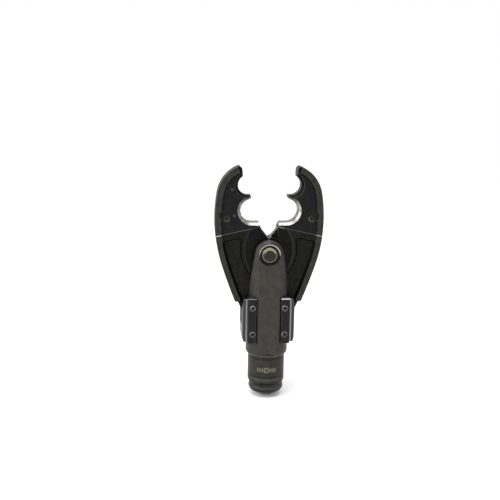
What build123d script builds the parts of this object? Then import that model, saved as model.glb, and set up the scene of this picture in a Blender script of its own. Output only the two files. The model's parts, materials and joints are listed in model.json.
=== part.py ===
from build123d import *
import math
import os

# Scissor-jaw hydraulic crimping head with two crimp grooves in each jaw.
# Millimetres. The origin is on the neck's axis, at the shoulder that seats on the tool.
# +Z runs along the axis towards the jaw tips, +X is to the right, and the front faces -Y.
# The head is modelled open, with the ram down. Rear pieces mirror the front ones.

# ---- driving dimensions -------------------------------------------------------------

# neck and barrel
NECK_R = 17.3
NECK_LENGTH = 21.0
BARREL_R = 19.7
SHOULDER_CHAMFER = 1.4
SHOULDER_CHAMFER_HEIGHT = 2.2
UNDERCUT_R = 16.8
LOCK_GROOVE_R = 15.8
SECOND_COLLAR_R = 16.3
NECK_END_R = 14.0
NECK_END_Z = -37.0
UNDERCUT_WIDTH = 1.6
COLLAR_BOTTOM_Z = -26.2
LOCK_GROOVE_Z = -30.0
SECOND_COLLAR_TOP_Z = -32.0
SECOND_COLLAR_BOTTOM_Z = -34.2
EDGE_BREAK = 0.6

# fork
PIN_Z = 97.0
SLOT_HALF = 8.3
SLOT_FLOOR_Z = 17.0
TONGUE_Y = 17.2
FLAT_FOOT_Z = 1.0
TONGUE_HALF = 10.9
PAD_Y = 13.4
PAD_HALF_X = 19.2
STRIP_BOTTOM_Z = 13.6
STRIP_TOP_Z = 56.5
EAR_HALF = 17.9
EAR_TOP_R = 12.9
EAR_TAPER_Z = PIN_Z - 30.0
EAR_FOOT = 1.0
EAR_BEVEL = 2.8

# pivot
PIN_R = 7.0
PIN_END_Y = 17.0
PIN_CHAMFER = 0.5
RING_SEAT_R = 8.9
RING_SEAT_Y = 14.4
SEAT_CHAMFER = 0.8
RING_THICKNESS = 1.0
RING_GROOVE_R = 6.4
RING_R = 8.5
RING_SPLIT = 3.2
FIT = 0.05
WASHER_THICKNESS = 0.8
WASHER_R = 12.0
BUSH_R = 8.6

# jaws, drawn shut on the plane X = 0 with the pin at the origin, then swung open
OPEN_ANGLE = 18.0
JAW_HALF_WIDTH = 44.4
TIP_CENTRE_Z = 52.4
TIP_R = 31.6
FLANK_CENTRE_Z = 2.0
HEEL_Z = -33.4
HEEL_INSET = 1.1
MOUTH_GAP = 0.1
NOSE_X = 1.7
TIP_HIGH_Z = 81.2
TIP_LOW_Z = 74.6
TIP_RELIEF = 1.5
UPPER_GROOVE_X = -0.6
UPPER_GROOVE_Z = 65.2
UPPER_GROOVE_R = 9.2
LOWER_GROOVE_X = 2.9
LOWER_GROOVE_Z = 42.0
LOWER_GROOVE_R = 10.7
TOOTH_LOW_Z = 53.4
GROOVE_OVERRUN = 4.0
GROOVE_SEAM = 0.02
HUB_R = 15.5
HUB_CLEARANCE = 0.4
NOTCH_CLEARANCE = 0.6
WEB_HALF = 8.0
UPPER_WEB_HALF = 7.3
RIM_HALF = 8.8
UPPER_RIM_HALF = 8.5
TIP_LAND_HALF = 7.6
TIP_LAND_X = 3.4
TIP_LAND_Z = 70.0
HUB_HALF = 7.4
POCKET_HALF = 6.3
TONGUE_LUG_HALF = 3.6
LUG_GAP = 0.15
RIM_WIDTH = 5.6
DRAFT = 45.0
POCKET_ROUND = 4.0
BEVEL = 2.6
BEVEL_DEPTH = 2.3
STEP_Z = 25.8
STEP_SLOPE = 5.7
POCKET_DROP = 5.4
HUB_RECESS_X = -11.0
HUB_RECESS_R = 32.2
HUB_DRAFT = 60.0
POCKET_GAP = 3.2
POCKET_LEDGE = 0.3
POCKET_LEFT_X = 10.0
POCKET_BOTTOM_Z = -39.0
SPOT_R = 5.0
SPOT_SHIFT = (1.1, 3.0)
NOTCH_POINT_Z = 13.2
NOTCH_TOP_Z = 23.7

# ram, rollers and levers
STROKE = 24.0
ROLLER_R = 8.5
ROLLER_X = 8.8
ROLLER_DROP = 64.0
ROLLER_HALF = 5.4
ROLLER_BUSH_R = 4.2
ROLLER_PIN_R = 3.0
ROLLER_CHAMFER = 0.4
CAM_GAP = 0.15
CAM_STEPS = 6
CAM_RIB = 3.0
CAM_TANGENT_STEP = 0.01
TAIL_GAP = 0.6
TAIL_RISE = 1.0
TOE_INNER = (18.6, -62.2)
TOE_OUTER = (21.2, -61.6)
LEVER_BACK = (40.2, -40.0)
RIM_END = (40.7, -34.7)
CARRIER_HALF = 7.9
CARRIER_HALF_X = 12.0
CARRIER_GAP = 5.6
CARRIER_R = 7.6
CARRIER_FLOOR = 13.6
CARRIER_ROOM = 0.5
ROD_R = 6.0
ROD_BOTTOM_Z = -42.0
ROD_TOP_Z = 23.6
ROD_CHAMFER = 0.6
CROSS_PIN_R = 1.25
CROSS_PIN_Z = 21.6
GUIDE_R = 7.6
SEAT_RING_R = 5.4
SPRING_TOP_Z = 10.5
SPRING_CHAMBER_R = 11.0
SPRING_SEAT_Z = -27.2
SPRING_SEAT_THICKNESS = 2.0
SPRING_R = 8.6
SPRING_WIRE_R = 0.9
SPRING_TURNS = 6
SPRING_END_GAP = 0.1
SPRING_SEAT_CLEARANCE = 0.5
SEAT_RING_WIDTH = 1.6
GLAND_TOP_Z = -30.5
GLAND_R = 11.4
SEAL_R = 8.0
SEAL_Z = -32.2
SEAL_HEIGHT = 2.5
O_RING_Z = -31.6
O_RING_HEIGHT = 1.2
O_RING_DEPTH = 1.0
SPANNER_HOLE_R = 1.2
SPANNER_HOLE_DEPTH = 2.0

# die release, in the shut jaw's own frame
BUTTON_X = 27.0
BUTTON_Z = 42.3
BUTTON_R = 2.8
BUTTON_FRONT_Y = -7.9
BUTTON_BACK_Y = 1.7
BUTTON_CONE = 0.3
BUTTON_MIDDLE_R = 2.2
BUTTON_CHAMFER = 0.4
BUTTON_HEAD = 3.4
BUTTON_STEP = 0.5
PLUG_Y = 5.9
PLUG_SINK = 0.1
DETENT_R = 1.5
DETENT_NOSE = 0.4
DETENT_GAP = 0.1
BUTTON_SPRING_R = 2.1
BUTTON_WIRE_R = 0.25
BUTTON_SPRING_TURNS = 4

# side guards, clamp strips and screws
GUARD_X = 24.5
GUARD_WALL = 2.2
GUARD_FLANGE = 1.8
GUARD_BEND = 3.4
GUARD_SLOT_HALF = 9.5
GUARD_SLOT_Z = 29.0
GUARD_BOTTOM_Z = 14.6
GUARD_TOP_Z = 55.5
GUARD_LEAD = 10.4
GUARD_LEAN = 1.7
GUARD_FOOT = 4.0
STRIP_INNER_X = 11.3
STRIP_OUTER_X = 19.5
STRIP_THICKNESS = 2.6
STRIP_CHAMFER = 0.5
SCREW_X = 14.8
SCREW_Z = (22.4, 47.4)
SCREW_R = 1.5
SCREW_CLEARANCE = 0.2
SCREW_TIP_Y = 9.0
SCREW_HEAD_R = 2.6
SCREW_HEAD_HEIGHT = 1.5
SCREW_HEAD_CHAMFER = 0.3
HEX_DEPTH = 1.1
HEX_ACROSS_FLATS = 2.5

# jaw opening spring
ANCHOR_X = 9.0
ANCHOR_DROP = 25.0
ANCHOR_R = 1.0
JAW_SPRING_R = 1.7
JAW_SPRING_WIRE_R = 0.4
JAW_SPRING_BORE_R = 2.6
JAW_SPRING_HOOK = 2.6
JAW_SPRING_TURNS = 12

FAR = 200.0


# ---- helpers ------------------------------------------------------------------------

def block(x0, x1, y0, y1, z0, z1):
    """A box given by its low and high corners."""
    centre = Location(((x0 + x1) / 2, (y0 + y1) / 2, (z0 + z1) / 2))
    return centre * Box(abs(x1 - x0), abs(y1 - y0), abs(z1 - z0))


def rod_z(radius, z0, z1, x=0.0):
    """A cylinder along Z."""
    return Location((x, 0, (z0 + z1) / 2)) * Cylinder(radius, z1 - z0)


def rod_y(radius, y0, y1, x=0.0, z=0.0):
    """A cylinder along Y."""
    return Location((x, (y0 + y1) / 2, z), (90, 0, 0)) * Cylinder(radius, y1 - y0)


def rod_x(radius, x0, x1, y=0.0, z=0.0):
    """A cylinder along X."""
    return Location(((x0 + x1) / 2, y, z), (0, 90, 0)) * Cylinder(radius, x1 - x0)


def plate(outline, half):
    """An XZ outline made into a plate that reaches half to each side of Y = 0."""
    return extrude(Plane.XZ * outline, amount=half, both=True)


def side_plates(outline, inner, outer=FAR):
    """The parts of a plate that lie between two distances from Y = 0, front and rear."""
    return plate(outline, outer) - plate(outline, inner)


def block_outline(x0, x1, z0, z1):
    """A rectangle given by its low and high corners."""
    return Location(((x0 + x1) / 2, (z0 + z1) / 2)) * Rectangle(x1 - x0, z1 - z0)


def turned(points):
    """A solid of revolution about Z from (radius, z) points."""
    return revolve(Plane.XZ * make_face(Polyline(*points, close=True)), Axis.Z)


def mirror_x(shape):
    return mirror(shape, about=Plane.YZ)


def mirror_y(shape):
    return mirror(shape, about=Plane.XZ)


def swung_open(shape):
    """The right jaw's pieces, from the shut drawing at the origin to the open head."""
    return Location((0, 0, PIN_Z)) * (Rotation(0, OPEN_ANGLE, 0) * shape)


def to_open(x, z):
    """A point of the right jaw's shut drawing, seen in the open head about the pin."""
    a = math.radians(OPEN_ANGLE)
    return (x * math.cos(a) + z * math.sin(a), z * math.cos(a) - x * math.sin(a))


def to_shut(x, z):
    """The inverse of to_open."""
    a = math.radians(OPEN_ANGLE)
    return (x * math.cos(a) - z * math.sin(a), z * math.cos(a) + x * math.sin(a))


# ---- jaws ---------------------------------------------------------------------------

def lever_angle(travel):
    """How far a jaw still stands open after the ram has moved by travel."""
    return math.radians(OPEN_ANGLE) * (1 - travel / STROKE)


def roller_in_jaw(travel):
    """The roller's centre in the shut drawing after the ram has moved by travel."""
    turn = lever_angle(travel)
    z = travel - ROLLER_DROP
    return (
        ROLLER_X * math.cos(turn) - z * math.sin(turn),
        ROLLER_X * math.sin(turn) + z * math.cos(turn),
    )


def cam_point(travel):
    """The point of the lever's cam face that the roller touches: its path, offset outwards."""
    x, z = roller_in_jaw(travel)
    next_x, next_z = roller_in_jaw(travel + CAM_TANGENT_STEP)
    reach = (ROLLER_R + CAM_GAP) / math.hypot(next_x - x, next_z - z)
    return (x + (next_z - z) * reach, z - (next_x - x) * reach)


def outer_edge(inset):
    """The jaw's outer edge from heel to nose, moved inwards: a lower arc, a long flank arc, a round tip."""
    width = JAW_HALF_WIDTH - inset
    tip = TIP_R - inset
    rise = TIP_CENTRE_Z - FLANK_CENTRE_Z
    flank = (width ** 2 - tip ** 2 + rise ** 2) / (2 * (width - tip))
    flank_x = width - flank
    join_angle = math.atan2(rise, -flank_x)
    middle_x = flank_x + flank * math.cos(join_angle / 2)
    middle_z = FLANK_CENTRE_Z + flank * math.sin(join_angle / 2)
    join = (tip * math.cos(join_angle), TIP_CENTRE_Z + tip * math.sin(join_angle))
    nose = (NOSE_X, TIP_CENTRE_Z + math.sqrt(tip ** 2 - NOSE_X ** 2))
    crown_angle = (join_angle + math.atan2(nose[1] - TIP_CENTRE_Z, nose[0])) / 2
    crown = (tip * math.cos(crown_angle), TIP_CENTRE_Z + tip * math.sin(crown_angle))
    foot = (width, FLANK_CENTRE_Z)
    heel = (width - HEEL_INSET, HEEL_Z)
    lower_middle = (width - HEEL_INSET / 4, (FLANK_CENTRE_Z + HEEL_Z) / 2)
    edges = [
        ThreePointArc(heel, lower_middle, foot),
        ThreePointArc(foot, (middle_x, middle_z), join),
        ThreePointArc(join, crown, nose),
    ]
    return heel, edges, nose


def closed_face(*edges):
    """A flat face bounded by the given edges, which are drawn in XY as (x, z)."""
    return make_face(Curve() + list(edges))


def cam_points():
    return [cam_point(STROKE * step / CAM_STEPS) for step in range(CAM_STEPS + 1)]


def jaw_outline():
    """The right jaw's silhouette, shut: from the heel over the tip, down the mouth to the cam and toe."""
    heel, edges, nose = outer_edge(0)
    cam = cam_points()
    throat = to_shut(TAIL_GAP, -HUB_R)
    lever_top = to_shut(TAIL_GAP, to_open(*cam[-1])[1] + TAIL_RISE)
    mouth = Polyline(nose, (MOUTH_GAP, TIP_HIGH_Z), (TIP_RELIEF, TIP_LOW_Z), (MOUTH_GAP, UPPER_GROOVE_Z),
                     (MOUTH_GAP, 0), throat, lever_top, cam[-1])
    toe = Polyline(cam[0], to_shut(*TOE_INNER), to_shut(*TOE_OUTER), LEVER_BACK, RIM_END, heel)
    area = closed_face(*edges, mouth, Spline(*reversed(cam)), toe)
    area -= Location(roller_in_jaw(STROKE)) * Circle(ROLLER_R + CAM_GAP)
    return area + Circle(HUB_R) + notch_flank() - notch()


def notch():
    """The V between the open jaws, right above the hub, in the shut drawing."""
    top = to_open(MOUTH_GAP, NOTCH_TOP_Z)
    corners = [(0, NOTCH_POINT_Z), top, (-top[0], top[1])]
    return make_face(Polyline(*[to_shut(*corner) for corner in corners], close=True))


def notch_flank():
    """The lug's slope from the mouth face to the point of the V."""
    point = to_shut(0, NOTCH_POINT_Z)
    return make_face(Polyline((MOUTH_GAP, NOTCH_TOP_Z), point, (MOUTH_GAP, 0), close=True))


def inside_rim(inset):
    """The area on the hollow side of the rim."""
    heel, edges, nose = outer_edge(inset)
    rest = Polyline(nose, (-FAR, nose[1]), (-FAR, -FAR), (heel[0], -FAR), heel)
    return closed_face(*edges, rest)


def above_step(drop=0.0):
    """The area above the milled step line, or above a line parallel to it."""
    rise = FAR * math.tan(math.radians(STEP_SLOPE))
    low = STEP_Z - drop
    return make_face(Polyline((-FAR, low - rise), (FAR, low + rise), (FAR, FAR), (-FAR, FAR), close=True))


def pocket_area(inset):
    """The hollow in the lever, between the rim, the hub recess, the step and the cam's rib."""
    rib = [(x + CAM_RIB + inset, z + CAM_RIB + inset) for x, z in cam_points()]
    side_x = rib[0][0] + RIM_WIDTH
    below_rib = make_face(Polyline(
        *rib,
        (-FAR, rib[-1][1]),
        (-FAR, -FAR),
        (side_x, -FAR),
        (side_x, rib[0][1]),
        close=True,
    ))
    area = inside_rim(RIM_WIDTH + POCKET_LEDGE + inset) - above_step(POCKET_DROP + inset) - below_rib
    area -= Location((HUB_RECESS_X, 0)) * Circle(HUB_RECESS_R + POCKET_GAP + inset)
    area &= block_outline(POCKET_LEFT_X + inset, FAR, POCKET_BOTTOM_Z + inset, FAR)
    return fillet(area.vertices().sort_by(Axis.Y)[-2:], POCKET_ROUND)


def lower_groove():
    """The die groove: a circle whose lower side runs out level when the jaw stands open."""
    angle = math.radians(OPEN_ANGLE)
    floor_x = LOWER_GROOVE_X + LOWER_GROOVE_R * math.sin(angle)
    floor_z = LOWER_GROOVE_Z - LOWER_GROOVE_R * math.cos(angle)
    run = floor_x + GROOVE_OVERRUN
    mouth = Polyline(
        (floor_x, floor_z),
        (-GROOVE_OVERRUN, floor_z - run * math.tan(angle)),
        (-GROOVE_OVERRUN, TOOTH_LOW_Z),
        (0, TOOTH_LOW_Z),
        (LOWER_GROOVE_X, LOWER_GROOVE_Z + LOWER_GROOVE_R - GROOVE_SEAM),
        close=True,
    )
    return make_face(mouth) + Location((LOWER_GROOVE_X, LOWER_GROOVE_Z)) * Circle(LOWER_GROOVE_R)


def upper_groove():
    return Location((UPPER_GROOVE_X, UPPER_GROOVE_Z)) * Circle(UPPER_GROOVE_R)


def sunk(outline, top, level, draft=DRAFT):
    """A rear and a front recess from the outline at one level down to another, with leaning walls."""
    cutter = extrude(Plane.XZ.offset(-top) * outline, amount=top - level, taper=draft)
    return cutter + mirror_y(cutter)


def groove_cut(area):
    """A groove through the jaw with a bevel at the front and at the rear."""
    land = UPPER_WEB_HALF - BEVEL_DEPTH
    flare = math.degrees(math.atan2(BEVEL, BEVEL_DEPTH))
    cone = extrude(Plane.XZ.offset(land) * area, amount=RIM_HALF - land, taper=-flare)
    return plate(area, FAR) + cone + mirror_y(cone)


def jaw_blank():
    """What both jaws share, as the right jaw, shut."""
    slope = math.tan(math.radians(DRAFT))
    hub_slope = (RIM_HALF - HUB_HALF) * math.tan(math.radians(HUB_DRAFT))
    hub_area = Location((HUB_RECESS_X, 0)) * Circle(HUB_RECESS_R + hub_slope) - above_step(-hub_slope)
    upper_area = inside_rim(RIM_WIDTH) & above_step((UPPER_RIM_HALF - UPPER_WEB_HALF) * slope)
    spot = Location((BUTTON_X + SPOT_SHIFT[0], BUTTON_Z + SPOT_SHIFT[1])) * Circle(SPOT_R)

    jaw = plate(jaw_outline(), RIM_HALF)
    jaw -= sunk(inside_rim(RIM_WIDTH), RIM_HALF, WEB_HALF)
    jaw -= side_plates(block_outline(-FAR, FAR, -FAR, RIM_END[1]), WEB_HALF)
    jaw -= side_plates(above_step(), UPPER_RIM_HALF)
    jaw -= sunk(upper_area, UPPER_RIM_HALF, UPPER_WEB_HALF)
    jaw -= side_plates(block_outline(-FAR, TIP_LAND_X, TIP_LAND_Z, FAR), TIP_LAND_HALF)
    jaw -= side_plates(spot, UPPER_WEB_HALF)
    jaw -= sunk(hub_area, RIM_HALF, HUB_HALF, HUB_DRAFT)
    jaw -= sunk(pocket_area((WEB_HALF - RIM_HALF) * slope), RIM_HALF, POCKET_HALF)
    jaw -= groove_cut(lower_groove())
    jaw -= groove_cut(upper_groove())
    jaw -= rod_y(BUSH_R, -FAR, FAR)
    jaw -= rod_y(BUTTON_R + FIT, -FAR, FAR, BUTTON_X, BUTTON_Z)
    jaw -= Location((0, 0, BUTTON_Z)) * rod_x(DETENT_R + FIT, LOWER_GROOVE_X, BUTTON_X)
    anchor = to_shut(ANCHOR_X, -ANCHOR_DROP)
    jaw -= rod_y(ANCHOR_R, -FAR, FAR, *anchor)
    spring_bore = rod_x(JAW_SPRING_BORE_R, -FAR, ANCHOR_X + JAW_SPRING_BORE_R)
    jaw -= Rotation(0, -OPEN_ANGLE, 0) * (Location((0, 0, -ANCHOR_DROP)) * spring_bore)
    return jaw


def lug_room():
    """The space that the other jaw's hub lug turns in: round, with room for its slope above."""
    point = to_shut(0, NOTCH_POINT_Z)
    top = NOTCH_TOP_Z + NOTCH_CLEARANCE
    above = make_face(Polyline(
        (-HUB_R, top),
        (MOUTH_GAP + NOTCH_CLEARANCE, top),
        (NOTCH_CLEARANCE - point[0], point[1]),
        (-HUB_R, point[1]),
        close=True,
    ))
    return Circle(HUB_R + HUB_CLEARANCE) + above


def tongue_jaw():
    """The jaw with one lug in the middle of the hub."""
    return jaw_blank() - side_plates(lug_room(), TONGUE_LUG_HALF)


def fork_jaw():
    """The jaw with two lugs, front and rear of the other jaw's."""
    return jaw_blank() - plate(lug_room(), TONGUE_LUG_HALF + LUG_GAP)


def bush(y0, y1):
    return rod_y(BUSH_R, y0, y1) - rod_y(PIN_R + FIT, y0, y1)


def fork_bushes():
    inner = TONGUE_LUG_HALF + LUG_GAP
    return Compound([bush(inner, HUB_HALF), bush(-HUB_HALF, -inner)])


def anchor_pin():
    return rod_y(ANCHOR_R, -POCKET_HALF, POCKET_HALF, *to_shut(ANCHOR_X, -ANCHOR_DROP))


# ---- die release --------------------------------------------------------------------

def at_button(shape):
    """A shape turned about Y at the origin, moved to the button's place."""
    return Location((BUTTON_X, 0, BUTTON_Z)) * shape


def die_button():
    """A push pin whose cone lets the detent back as it is pressed to the rear."""
    cone_front = BUTTON_FRONT_Y + BUTTON_HEAD
    cone_back = DETENT_R
    profile = Polyline(
        (0, BUTTON_FRONT_Y),
        (BUTTON_R - BUTTON_CHAMFER, BUTTON_FRONT_Y),
        (BUTTON_R, BUTTON_FRONT_Y + BUTTON_CHAMFER),
        (BUTTON_R, cone_front - BUTTON_STEP),
        (BUTTON_MIDDLE_R + BUTTON_CONE * cone_front, cone_front),
        (BUTTON_MIDDLE_R + BUTTON_CONE * cone_back, cone_back),
        (BUTTON_MIDDLE_R + BUTTON_CONE * cone_back, BUTTON_BACK_Y),
        (0, BUTTON_BACK_Y),
        close=True,
    )
    return at_button(revolve(make_face(profile), Axis.Y))


def die_detent():
    """A round-nosed pin that stands into the groove and holds a die half."""
    nose_x = LOWER_GROOVE_X + LOWER_GROOVE_R - DETENT_NOSE
    tail_x = BUTTON_X - BUTTON_MIDDLE_R - BUTTON_CONE * DETENT_R - DETENT_GAP
    pin = rod_x(DETENT_R, nose_x, tail_x)
    nose = pin.edges().sort_by(Axis.X)[0]
    return Location((0, 0, BUTTON_Z)) * chamfer(nose, DETENT_NOSE)


def release_plug():
    return at_button(rod_y(BUTTON_R + FIT, PLUG_Y, UPPER_WEB_HALF - PLUG_SINK))


def coil(radius, wire, length, turns):
    """A round-wire compression spring along +Z from the origin, wire centre to wire centre."""
    pitch = length / turns
    path = Helix(pitch=pitch, height=length, radius=radius)
    section = Plane(origin=path @ 0, z_dir=path % 0) * Circle(wire)
    return sweep(section, path=path, is_frenet=True)


def button_spring():
    length = PLUG_Y - BUTTON_BACK_Y - 2 * (BUTTON_WIRE_R + SPRING_END_GAP)
    spring = coil(BUTTON_SPRING_R, BUTTON_WIRE_R, length, BUTTON_SPRING_TURNS)
    start = Location((0, BUTTON_BACK_Y + BUTTON_WIRE_R + SPRING_END_GAP, 0), (-90, 0, 0))
    return at_button(start * spring)


# ---- yoke ---------------------------------------------------------------------------

def neck_and_barrel():
    """The turned outside, from the neck's end to above the ears."""
    top = PIN_Z + EAR_TOP_R + EAR_BEVEL
    undercut_bottom = -NECK_LENGTH - UNDERCUT_WIDTH
    return turned([
        (0, NECK_END_Z),
        (NECK_END_R, NECK_END_Z),
        (NECK_END_R + EDGE_BREAK, NECK_END_Z + 0.3 * EDGE_BREAK),
        (SECOND_COLLAR_R - EDGE_BREAK, SECOND_COLLAR_BOTTOM_Z - 2 * EDGE_BREAK),
        (SECOND_COLLAR_R, SECOND_COLLAR_BOTTOM_Z),
        (SECOND_COLLAR_R, SECOND_COLLAR_TOP_Z),
        (LOCK_GROOVE_R, LOCK_GROOVE_Z - EDGE_BREAK),
        (LOCK_GROOVE_R, LOCK_GROOVE_Z + EDGE_BREAK),
        (NECK_R - EDGE_BREAK, COLLAR_BOTTOM_Z - 2 * EDGE_BREAK),
        (NECK_R, COLLAR_BOTTOM_Z),
        (NECK_R, undercut_bottom),
        (UNDERCUT_R, undercut_bottom + EDGE_BREAK),
        (UNDERCUT_R, -NECK_LENGTH - EDGE_BREAK),
        (NECK_R, -NECK_LENGTH),
        (NECK_R, 0),
        (BARREL_R - SHOULDER_CHAMFER, 0),
        (BARREL_R, SHOULDER_CHAMFER_HEIGHT),
        (BARREL_R, top),
        (0, top),
    ])


def ear_outline():
    """The fork's front view: upright sides that taper to a round top about the pin."""
    shank_height = EAR_TAPER_Z - NECK_END_Z
    shank = Location((0, EAR_TAPER_Z - shank_height / 2)) * Rectangle(2 * BARREL_R, shank_height)
    taper = make_hull((Location((0, PIN_Z)) * Circle(EAR_TOP_R)).edges()
                      + (Location((0, EAR_TAPER_Z)) * Rectangle(2 * EAR_HALF, EAR_FOOT)).edges())
    return shank + taper


def yoke():
    """The forged body: neck, barrel and a fork of two ears, one at the front, one at the rear."""
    body = neck_and_barrel() & plate(ear_outline(), FAR)
    for side in (-1, 1):
        body += block(-PAD_HALF_X, PAD_HALF_X, side * SLOT_HALF, side * PAD_Y, STRIP_BOTTOM_Z, STRIP_TOP_Z)
        body -= block(-FAR, FAR, side * TONGUE_Y, side * FAR, FLAT_FOOT_Z, FAR)
        for x in (-1, 1):
            body -= block(x * TONGUE_HALF, x * FAR, side * PAD_Y, side * FAR, STRIP_BOTTOM_Z, STRIP_TOP_Z)
    body -= block(-FAR, FAR, -SLOT_HALF, SLOT_HALF, SLOT_FLOOR_Z, FAR)

    inner_r = EAR_TOP_R - EAR_BEVEL
    outer_r = EAR_TOP_R + EAR_BEVEL
    ear_bevel = revolve(make_face(Polyline(
        (inner_r, TONGUE_Y),
        (outer_r, TONGUE_Y - 2 * EAR_BEVEL),
        (BARREL_R + EAR_BEVEL, TONGUE_Y - 2 * EAR_BEVEL),
        (BARREL_R + EAR_BEVEL, TONGUE_Y),
        close=True,
    )), Axis.Y)
    ear_bevel &= block(-FAR, FAR, 0, FAR, 0, FAR)
    seat = rod_y(RING_SEAT_R, RING_SEAT_Y, FAR) + revolve(make_face(Polyline(
        (0, TONGUE_Y - SEAT_CHAMFER),
        (RING_SEAT_R, TONGUE_Y - SEAT_CHAMFER),
        (RING_SEAT_R + SEAT_CHAMFER, TONGUE_Y),
        (0, TONGUE_Y),
        close=True,
    )), Axis.Y)
    for cutter in (ear_bevel, seat):
        body -= Location((0, 0, PIN_Z)) * cutter
        body -= Location((0, 0, PIN_Z)) * mirror_y(cutter)
    body -= rod_y(PIN_R, -FAR, FAR, 0, PIN_Z)

    body -= rod_z(GUIDE_R, SPRING_TOP_Z, SLOT_FLOOR_Z)
    body -= rod_z(SPRING_CHAMBER_R, GLAND_TOP_Z, SPRING_TOP_Z)
    body -= rod_z(GLAND_R, NECK_END_Z, GLAND_TOP_Z)
    for x, y, z in screw_places():
        body -= rod_y(SCREW_R, min(y * SCREW_TIP_Y, y * FAR), max(y * SCREW_TIP_Y, y * FAR), x * SCREW_X, z)
    return body


def screw_places():
    """The side in X, the side in Y and the height of every strip screw."""
    return [(x, y, z) for y in (-1, 1) for x in (-1, 1) for z in SCREW_Z]


# ---- pivot --------------------------------------------------------------------------

def pivot_pin():
    pin = chamfer(rod_y(PIN_R, -PIN_END_Y, PIN_END_Y).edges(), PIN_CHAMFER)
    groove = rod_y(FAR, RING_SEAT_Y, RING_SEAT_Y + RING_THICKNESS) - rod_y(RING_GROOVE_R, 0, FAR)
    return Location((0, 0, PIN_Z)) * (pin - groove - mirror_y(groove))


def retaining_ring():
    """An external snap ring with its gap at the bottom, at the rear."""
    ring = rod_y(RING_R, RING_SEAT_Y, RING_SEAT_Y + RING_THICKNESS)
    ring -= rod_y(RING_GROOVE_R, 0, FAR)
    ring -= block(-RING_SPLIT / 2, RING_SPLIT / 2, 0, FAR, -FAR, 0)
    return Location((0, 0, PIN_Z)) * ring


def thrust_washer():
    """The washer between the jaws' hub and the rear ear."""
    washer = rod_y(WASHER_R, SLOT_HALF - WASHER_THICKNESS, SLOT_HALF)
    return Location((0, 0, PIN_Z)) * (washer - rod_y(PIN_R, 0, FAR))


# ---- ram ----------------------------------------------------------------------------

def roller_z():
    return PIN_Z - ROLLER_DROP


def roller_carrier():
    """A fork that holds both rollers by their pins, with a socket for the rod below."""
    base_top = roller_z() - ROLLER_R - CARRIER_ROOM
    base_bottom = roller_z() - CARRIER_FLOOR
    rounds = [(Location((x, roller_z())) * Circle(CARRIER_R)).edges() for x in (-ROLLER_X, ROLLER_X)]
    cheek = make_hull(rounds[0] + rounds[1])
    foot_height = roller_z() - base_bottom
    foot = Location((0, roller_z() - foot_height / 2)) * Rectangle(2 * CARRIER_HALF_X, foot_height)
    carrier = plate(cheek + foot, CARRIER_HALF)
    carrier -= block(-FAR, FAR, -CARRIER_GAP, CARRIER_GAP, base_top, FAR)
    carrier -= rod_z(ROD_R, base_bottom, ROD_TOP_Z)
    carrier -= rod_x(CROSS_PIN_R, -FAR, FAR, 0, CROSS_PIN_Z)
    for x in (-ROLLER_X, ROLLER_X):
        carrier -= rod_y(ROLLER_PIN_R, -FAR, FAR, x, roller_z())
    return carrier


def push_rod():
    rod = chamfer(rod_z(ROD_R, ROD_BOTTOM_Z, ROD_TOP_Z).edges(), ROD_CHAMFER)
    rod -= rod_x(CROSS_PIN_R, -FAR, FAR, 0, CROSS_PIN_Z)
    groove_top = SPRING_SEAT_Z - SPRING_SEAT_THICKNESS
    rod -= rod_z(FAR, groove_top - RING_THICKNESS, groove_top) - rod_z(SEAT_RING_R, -FAR, FAR)
    return rod


def washer_z(outer, inner, z0, z1):
    return rod_z(outer, z0, z1) - rod_z(inner, z0, z1)


def roller(x):
    body = rod_y(ROLLER_R, -ROLLER_HALF, ROLLER_HALF, x, roller_z())
    body = chamfer(body.edges(), ROLLER_CHAMFER)
    return body - rod_y(ROLLER_BUSH_R, -FAR, FAR, x, roller_z())


def roller_bush(x):
    outer = rod_y(ROLLER_BUSH_R, -ROLLER_HALF, ROLLER_HALF, x, roller_z())
    return outer - rod_y(ROLLER_PIN_R + FIT, -FAR, FAR, x, roller_z())


def gland():
    """The threaded end bush that closes the spring chamber and guides the rod."""
    body = washer_z(GLAND_R, ROD_R + FIT, NECK_END_Z, GLAND_TOP_Z)
    body -= rod_z(SEAL_R, SEAL_Z - SEAL_HEIGHT, SEAL_Z)
    body -= washer_z(FAR, GLAND_R - O_RING_DEPTH, O_RING_Z - O_RING_HEIGHT, O_RING_Z)
    for angle in (0, 180):
        hole = rod_z(SPANNER_HOLE_R, NECK_END_Z, NECK_END_Z + SPANNER_HOLE_DEPTH, (GLAND_R + ROD_R) / 2)
        body -= Rotation(0, 0, angle) * hole
    return body


# ---- guards, strips and screws ------------------------------------------------------

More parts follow.
